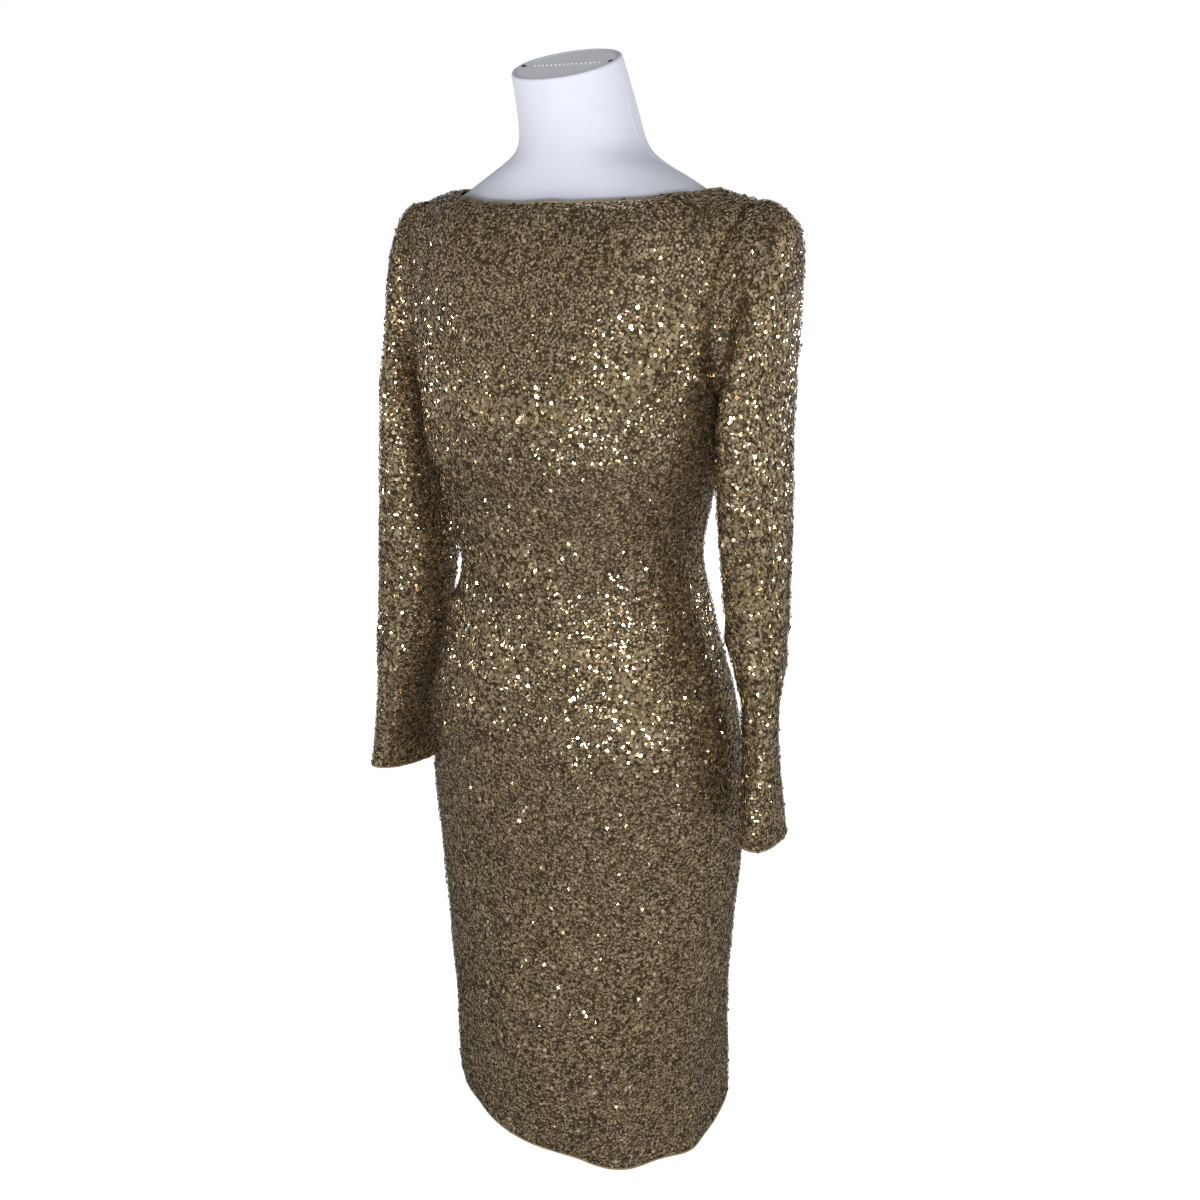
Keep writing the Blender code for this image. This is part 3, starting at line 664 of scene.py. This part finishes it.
def sequin_mesh(name, places, facing, loose, rng):
    """Six-sided discs, each creased a little along one diameter, as one mesh.

    A disc is two four-sided faces that share the crease, from its first corner to its fourth.
    """
    count = len(places)
    hangs = rng.random(count) < loose
    first, second, up = leaning(facing, hangs, rng)
    radius = np.where(hangs, LOOSE_RADIUS, SEQUIN_RADIUS) * rng.uniform(*SEQUIN_SIZES, count)
    radius = radius[:, None]
    lift = rng.uniform(*SEQUIN_LIFT, count) + LOOSE_LIFT * hangs
    centre = places + facing * lift[:, None]
    crease = np.tan(np.radians(rng.normal(0, SEQUIN_CREASE, count)))[:, None]
    corners = []
    for k in range(SEQUIN_SIDES):
        swing = k * 2 * math.pi / SEQUIN_SIDES
        side = abs(math.sin(swing))
        corners.append(centre + radius * (first * math.cos(swing) + second * math.sin(swing)
                                          + up * crease * side))
    verts = np.stack(corners, axis=1).reshape(-1, 3)
    base = (np.arange(count) * SEQUIN_SIDES)[:, None]
    quads = np.concatenate([base + [0, 1, 2, 3], base + [0, 3, 4, 5]], axis=1).reshape(-1)
    mesh = bpy.data.meshes.new(name)
    mesh.vertices.add(count * SEQUIN_SIDES)
    mesh.vertices.foreach_set("co", verts.astype(np.float32).ravel())
    mesh.loops.add(count * 8)
    mesh.loops.foreach_set("vertex_index", quads.astype(np.int32))
    mesh.polygons.add(count * 2)
    mesh.polygons.foreach_set("loop_start", np.arange(0, count * 8, 4, dtype=np.int32))
    tint = rng.choice(len(TINTS), size=count, p=[t.share for t in TINTS])
    for tinted in SEQUIN_MATERIALS:
        mesh.materials.append(tinted)
    mesh.polygons.foreach_set("material_index", np.repeat(tint, 2).astype(np.int32))
    mesh.update(calc_edges=True)
    return mesh


def loose_share(places, middle, name):
    """The share of sequins that hang loose at each place."""
    angle, drop = unrolled(places, middle, name)
    stretches = BODY_LOOSE if name in PANELS else SLEEVE_LOOSE
    radius = BODY_RADIUS if name in PANELS else SLEEVE_RADIUS
    return LOOSE_SHARE + crease_relief(stretches, angle, drop, radius)


def cover_with_sequins(piece, middle, name, seed):
    """Sequins all over one cloth surface, in pieces of a workable size from the top down."""
    places, facing = scatter(piece, seed)
    loose = loose_share(places, middle, name)
    rng = np.random.default_rng(seed)
    order = np.argsort(-places[:, 2], kind="stable")
    parts = math.ceil(len(order) / SEQUINS_A_PIECE)
    for part, chosen in enumerate(np.array_split(order, parts)):
        label = f"{name}_sequins_{part + 1}" if parts > 1 else f"{name}_sequins"
        mesh = sequin_mesh(label, places[chosen], facing[chosen], loose[chosen], rng)
        made = add_mesh(label, mesh)
        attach(made, "root")
        print(label, len(chosen), "sequins")


# ---------------------------------------------------------------- the dress form

def tube(path, radius, guide=(0, 0, 1), sides=8, closed=False):
    """A round tube along a path of points: its points and its quads."""
    path = np.asarray(path, dtype=float)
    if closed:
        ahead = np.roll(path, -1, axis=0) - np.roll(path, 1, axis=0)
    else:
        ahead = np.gradient(path, axis=0)
    aside = np.cross(ahead, guide)
    aside /= np.linalg.norm(aside, axis=1, keepdims=True)
    up = np.cross(aside, ahead)
    up /= np.linalg.norm(up, axis=1, keepdims=True)
    swing = np.linspace(0, 2 * math.pi, sides, endpoint=False)[:, None]
    radius = np.broadcast_to(radius, len(path))
    rings = [place + r * (np.cos(swing) * a + np.sin(swing) * b)
             for place, r, a, b in zip(path, radius, aside, up)]
    count = len(path)
    quads = []
    for i in range(count if closed else count - 1):
        j = (i + 1) % count
        for k in range(sides):
            n = (k + 1) % sides
            quads.append((i * sides + k, i * sides + n, j * sides + n, j * sides + k))
    if not closed:
        quads.append(tuple(range(sides - 1, -1, -1)))
        quads.append(tuple(range((count - 1) * sides, count * sides)))
    return np.concatenate(rings), quads


def joined(name, shapes, finish):
    """One object out of several (points, faces) shapes."""
    points, faces = [], []
    for places, sides in shapes:
        start = sum(len(part) for part in points)
        points.append(places)
        faces.extend(tuple(start + k for k in face) for face in sides)
    mesh = bpy.data.meshes.new(name)
    mesh.from_pydata(np.concatenate(points).tolist(), [], faces)
    mesh.materials.append(finish)
    mesh.shade_smooth()
    piece = add_mesh(name, mesh)
    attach(piece, "root")
    return piece


def outline_runs(mesh):
    """The open edges of a sheet as runs of points, split at its corners."""
    bm = bmesh.new()
    bm.from_mesh(mesh)
    rim = {edge.index for edge in bm.edges if edge.is_boundary}
    edge_verts = [vert for vert in bm.verts if vert.is_boundary]
    corners = [vert for vert in edge_verts if len(vert.link_edges) == 2]
    stops = {vert.index for vert in corners}
    runs = []
    for start in corners + edge_verts:
        run = [start]
        while True:
            step = next((edge for edge in run[-1].link_edges if edge.index in rim), None)
            if step is None:
                break
            rim.discard(step.index)
            run.append(step.other_vert(run[-1]))
            if run[-1].index in stops:
                break
        if len(run) > 1:
            runs.append(np.array([vert.co[:] for vert in run]))
    bm.free()
    return runs


def edge_shapes(mesh, name):
    """Tubes along the finished edges of one cloth piece: its neckline, and its hem or cuff."""
    runs = sorted(outline_runs(mesh), key=lambda run: run[:, 2].mean())
    if name in SLEEVES:
        return None, tube(runs[0][:-1], HEM_RADIUS, closed=True)
    top = runs[-1]
    neck = top[np.abs(top[:, 0]) < NECK_HALF_WIDTH + 0.001]
    return tube(neck, BINDING_RADIUS), tube(runs[0], HEM_RADIUS)


def form_wall():
    """The dress form's side wall, smooth, without its flat underside and sloping top."""
    bm = bmesh.new()
    bm.from_mesh(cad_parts["form_torso"].data)
    bmesh.ops.remove_doubles(bm, verts=bm.verts, dist=1e-5)
    bm.normal_update()
    low = min(vert.co.z for vert in bm.verts)
    neck = max(vert.co.z for vert in bm.verts) - NECK_RISE
    slope = math.radians(NECK_CUT_TILT)
    cut = Vector((0, -math.sin(slope), math.cos(slope)))
    ends = [face for face in bm.faces
            if all(vert.co.z < low + 1e-4 for vert in face.verts)
            or (face.normal.dot(cut) > 0.99 and face.calc_center_median().z > neck)]
    bmesh.ops.delete(bm, geom=ends, context="FACES")
    bmesh.ops.join_triangles(bm, faces=bm.faces[:], angle_face_threshold=math.pi,
                             angle_shape_threshold=math.pi)
    mesh = bpy.data.meshes.new("form_body")
    bm.to_mesh(mesh)
    bm.free()
    piece = add_mesh("form_body", mesh)
    mesh = rounded(piece, FORM_LEVELS)
    places = points_of(mesh)
    covered = smoothstep((NECK_POINT - 0.03 - places[:, 2]) / 0.04)
    set_points(mesh, places - normals_of(mesh) * (FORM_INSET * covered)[:, None])
    return piece


def closed_ends(mesh):
    """Fills the open ends of a tube."""
    bm = bmesh.new()
    bm.from_mesh(mesh)
    bmesh.ops.holes_fill(bm, edges=[edge for edge in bm.edges if edge.is_boundary], sides=0)
    bmesh.ops.recalc_face_normals(bm, faces=bm.faces)
    bm.to_mesh(mesh)
    bm.free()


def stitch_shapes(middle, slope):
    """A row of short stitches across the top of the neck, sagging a little to the front."""
    shapes = []
    lie = np.array([0, -math.cos(slope), -math.sin(slope)])
    along, taper = np.array(STITCH_TAPER).T
    for k in range(STITCHES):
        x = STITCH_ROW_HALF * (2 * (k + 0.5) / STITCHES - 1)
        sag = STITCH_SAG * (1 - (x / STITCH_ROW_HALF) ** 2)
        centre = middle + np.array([x, 0, 0]) + lie * sag
        path = [centre + np.array([t * STITCH_LENGTH / 2, 0, 0]) for t in along]
        shapes.append(tube(path, STITCH_RADIUS * taper, sides=6))
    return shapes


def gather_shadow_shapes(middle, half_width):
    """A small near-black bead at each end of the row of stitches: painted shadow for the shaded
    hollow where the cover is gathered.
    """
    along, thickness = np.array(GATHER_TAPER).T
    shapes = []
    for hand in (1, -1):
        start = middle + np.array([hand * (half_width - GATHER_INSET), 0.0, 0.0])
        path = [start + hand * np.array([t * GATHER_HALF, 0, 0]) for t in along]
        shapes.append(tube(path, thickness))
    return shapes


def neck_seams(mesh):
    """The cover's side seams, from the top of the neck down under the dress."""
    bm = bmesh.new()
    bm.from_mesh(mesh)
    tree = BVHTree.FromBMesh(bm)
    bm.free()
    shapes = []
    for hand in (1, -1):
        path = []
        for rise in np.linspace(*SEAM_ENDS, SEAM_POINTS):
            middle = np.interp(rise, (0.0, 0.1), (0.0, SEAM_SHIFT))
            inside = Vector((0, middle, NECK_POINT + rise))
            hit = tree.ray_cast(inside, Vector((hand, SEAM_HEADING, 0)))
            if hit[0] is not None:
                path.append(hit[0])
        shapes.append(tube(path, SEAM_RADIUS, guide=(0, 1, 0), sides=6))
    return shapes


def rim_roll(middle, outline):
    """The roll round the top of the neck, thicker at the sides."""
    side = np.abs(outline[:, 0]) / np.abs(outline[:, 0]).max()
    radius = RIM_RADIUS + RIM_SWELL * side ** 4
    inset = 1 - radius / np.linalg.norm(outline, axis=1)
    return tube(middle + outline * inset[:, None], radius, closed=True)


def build_lid(up):
    """The cap, sunk inside the rim, in the cover's knit painted lighter: painted light for its
    dimly lit upward face.
    """
    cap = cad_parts["form_neck_cap"].data.copy()
    sunk = add_mesh("form_neck_lid", cap)
    set_points(cap, points_of(cap) - up * CAP_SINK)
    cap.materials.clear()
    cap.materials.append(LID)
    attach(sunk, "root")
    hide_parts("form_neck_cap")


def build_neck_top(rim, seams):
    """The rolled rim, the cap inside it in a knit painted lighter, its stitches and the painted
    shadows at the two gathered ends.
    """
    slope = math.radians(NECK_CUT_TILT)
    up = np.array([0, -math.sin(slope), math.cos(slope)])
    middle = rim.mean(axis=0)
    outline = rim - middle
    joined("form_neck_rim", [rim_roll(middle, outline)] + seams, COVER)
    build_lid(up)
    top = middle + up * (CAP_THICKNESS - CAP_SINK + STITCH_LIFT)
    joined("form_neck_stitches", stitch_shapes(top, slope), THREAD)
    ends = gather_shadow_shapes(top, np.abs(outline[:, 0]).max())
    joined("form_neck_gather_shadows", ends, GATHER_SHADOW)


def build_form():
    piece = form_wall()
    mesh = piece.data
    rim = max(outline_runs(mesh), key=lambda run: run[:, 2].mean())[:-1]
    seams = neck_seams(mesh)
    closed_ends(mesh)
    mesh.materials.clear()
    mesh.materials.append(COVER)
    mesh.shade_smooth()
    mesh.set_sharp_from_angle(angle=math.radians(50))
    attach(piece, "root")
    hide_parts("form_torso")
    build_neck_top(rim, seams)


# ---------------------------------------------------------------- the studio

CAMERA_PLACE = (0.6582, -1.2072, 0.9760)
CAMERA_AIM = (-0.45212, 0.85045, -0.26892)
CAMERA_LENS = 41.11
SPARKLE_DISTANCE = 2.3
SPARKLE_HEIGHT = 0.65
Sparkle = namedtuple("Sparkle", "azimuth size watts")
KEY = Sparkle(28, 0.15, 9.5)
RING = [Sparkle(azimuth, 0.10, 2.8) for azimuth in range(-88, 272, 30)]
Soft = namedtuple("Soft", "name place aim size watts")
SOFT_LIGHTS = (
    Soft("soft", (1.7, -2.0, 2.0), (0, 0, 0.8), (2.2, 1.8), 16),
    Soft("side", (2.6, 0.8, 1.6), (0, 0, 0.7), (1.6, 2.0), 4),
)
FLOOR_RADIUS = 12
FLOOR_GLOW = (0.93, 1.10)           # under the form, and from FLOOR_FADE's far end on
FLOOR_FADE = (0.3, 2.0)
ROOM = ((0.0, 0.10), (0.30, 0.19), (0.52, 0.38), (0.75, 0.34), (1.0, 0.16))  # height, shade
ROOM_SIDES = (0.80, 1.12)           # the room's strength at the wearer's right and left


def build_camera():
    data = bpy.data.cameras.new("camera")
    data.lens = CAMERA_LENS
    data.sensor_width = 36
    camera = bpy.data.objects.new("camera", data)
    camera.location = CAMERA_PLACE
    camera.rotation_euler = Vector(CAMERA_AIM).to_track_quat("-Z", "Y").to_euler()
    bpy.context.scene.collection.objects.link(camera)
    bpy.context.scene.camera = camera


def build_floor():
    bm = bmesh.new()
    bmesh.ops.create_circle(bm, cap_ends=True, radius=FLOOR_RADIUS, segments=64)
    mesh = bpy.data.meshes.new("floor")
    bm.to_mesh(mesh)
    bm.free()
    floor = add_mesh("floor", mesh)
    made, tree, shader = new_material("pale_floor")
    shader.inputs["Base Color"].default_value = (0.5, 0.5, 0.5, 1)
    shader.inputs["Roughness"].default_value = 0.9
    shader.inputs["Specular IOR Level"].default_value = 0.0
    shader.inputs["Emission Color"].default_value = (1, 1, 1, 1)
    reach = tree.nodes.new("ShaderNodeVectorMath")
    reach.operation = "LENGTH"
    tree.links.new(object_places(tree), reach.inputs[0])
    glow = add_node(tree, "ShaderNodeMapRange", From_Min=FLOOR_FADE[0], From_Max=FLOOR_FADE[1],
                    To_Min=FLOOR_GLOW[0], To_Max=FLOOR_GLOW[1])
    tree.links.new(reach.outputs["Value"], glow.inputs["Value"])
    tree.links.new(glow.outputs["Result"], shader.inputs["Emission Strength"])
    mesh.materials.append(made)
    floor.visible_glossy = False


def area_light(name, place, aim, size, watts):
    data = bpy.data.lights.new(name, "AREA")
    data.shape = "RECTANGLE"
    data.size, data.size_y = size
    data.energy = watts
    light = bpy.data.objects.new(name, data)
    light.location = place
    light.rotation_euler = (Vector(aim) - Vector(place)).to_track_quat("-Z", "Y").to_euler()
    bpy.context.scene.collection.objects.link(light)
    return light


def build_lights():
    """Small low lights all round that the sequins catch, and big soft ones for matt surfaces."""
    for number, light in enumerate([KEY] + RING):
        azimuth = math.radians(light.azimuth)
        place = (SPARKLE_DISTANCE * math.sin(azimuth), -SPARKLE_DISTANCE * math.cos(azimuth),
                 SPARKLE_HEIGHT)
        area_light(f"sparkle_{number}", place, (0, 0, 0.6), (light.size, light.size), light.watts)
    for soft in SOFT_LIGHTS:
        area_light(*soft).visible_glossy = False


def build_world():
    """White for the camera. Everything else sees a dim room, darker overhead than at the sides."""
    world = bpy.data.worlds.new("studio")
    world.use_nodes = True
    tree = world.node_tree
    back = tree.nodes["Background"]
    room = tree.nodes.new("ShaderNodeBackground")
    split = tree.nodes.new("ShaderNodeSeparateXYZ")
    tree.links.new(tree.nodes.new("ShaderNodeTexCoord").outputs["Generated"], split.inputs[0])
    height = add_node(tree, "ShaderNodeMapRange", From_Min=-1.0, From_Max=1.0)
    tree.links.new(split.outputs["Z"], height.inputs["Value"])
    shade = ramp(tree, height.outputs["Result"],
                 [(place, (grey, grey, grey, 1)) for place, grey in ROOM])
    tree.links.new(shade, room.inputs["Color"])
    across = add_node(tree, "ShaderNodeMapRange", From_Min=-1.0, From_Max=1.0,
                      To_Min=ROOM_SIDES[0], To_Max=ROOM_SIDES[1])
    tree.links.new(split.outputs["X"], across.inputs["Value"])
    tree.links.new(across.outputs["Result"], room.inputs["Strength"])
    back.inputs["Color"].default_value = (1, 1, 1, 1)
    back.inputs["Strength"].default_value = 1.0
    path = tree.nodes.new("ShaderNodeLightPath")
    mix = tree.nodes.new("ShaderNodeMixShader")
    tree.links.new(path.outputs["Is Camera Ray"], mix.inputs["Fac"])
    tree.links.new(room.outputs[0], mix.inputs[1])
    tree.links.new(back.outputs[0], mix.inputs[2])
    tree.links.new(mix.outputs[0], tree.nodes["World Output"].inputs["Surface"])
    bpy.context.scene.world = world
    bpy.context.scene.view_settings.view_transform = "Standard"


# ---------------------------------------------------------------- everything

def build_dress():
    """The four cloth pieces with their sequins, and the thread and turnings on their edges."""
    necklines, hems = [], []
    for number, name in enumerate(PANELS + SLEEVES):
        surface, middle = cloth_surface(name)
        neckline, hem = edge_shapes(surface.data, name)
        hems.append(hem)
        if neckline is not None:
            necklines.append(neckline)
        cover_with_sequins(surface, middle, name, FIRST_SEED + number)
        net = build_net(surface, name)
    joined("neckline_binding", necklines, BINDING)
    joined("turned_edges", hems, BINDING)


NET = net_material()
BINDING = binding_material()
COVER = knit_material("form_knit", (0.60, 0.615, 0.705), (0.65, 0.665, 0.75))
# The cap is the cover's own knit, painted lighter as painted light to make up for the little light
# its upward face gets.
LID = knit_material("cap_knit_painted_lighter", (0.84, 0.87, 0.93), (0.89, 0.92, 0.97))
THREAD = plain_material("white_thread", (0.82, 0.82, 0.84), 0.6)
# Painted shadow: near-black for the shaded hollows where the cover is gathered at the stitch row's
# ends.
GATHER_SHADOW = plain_material("gathered_shadow", (0.05, 0.05, 0.055), 0.9)
STEEL = metal_material()
SEQUIN_MATERIALS = [sequin_material(tint) for tint in TINTS]

build_camera()
build_dress()
build_form()
for name in ("stand_base", "stand_socket", "stand_pole"):
    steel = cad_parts[name].data.materials
    steel.clear()
    steel.append(STEEL)
build_floor()
build_lights()
build_world()
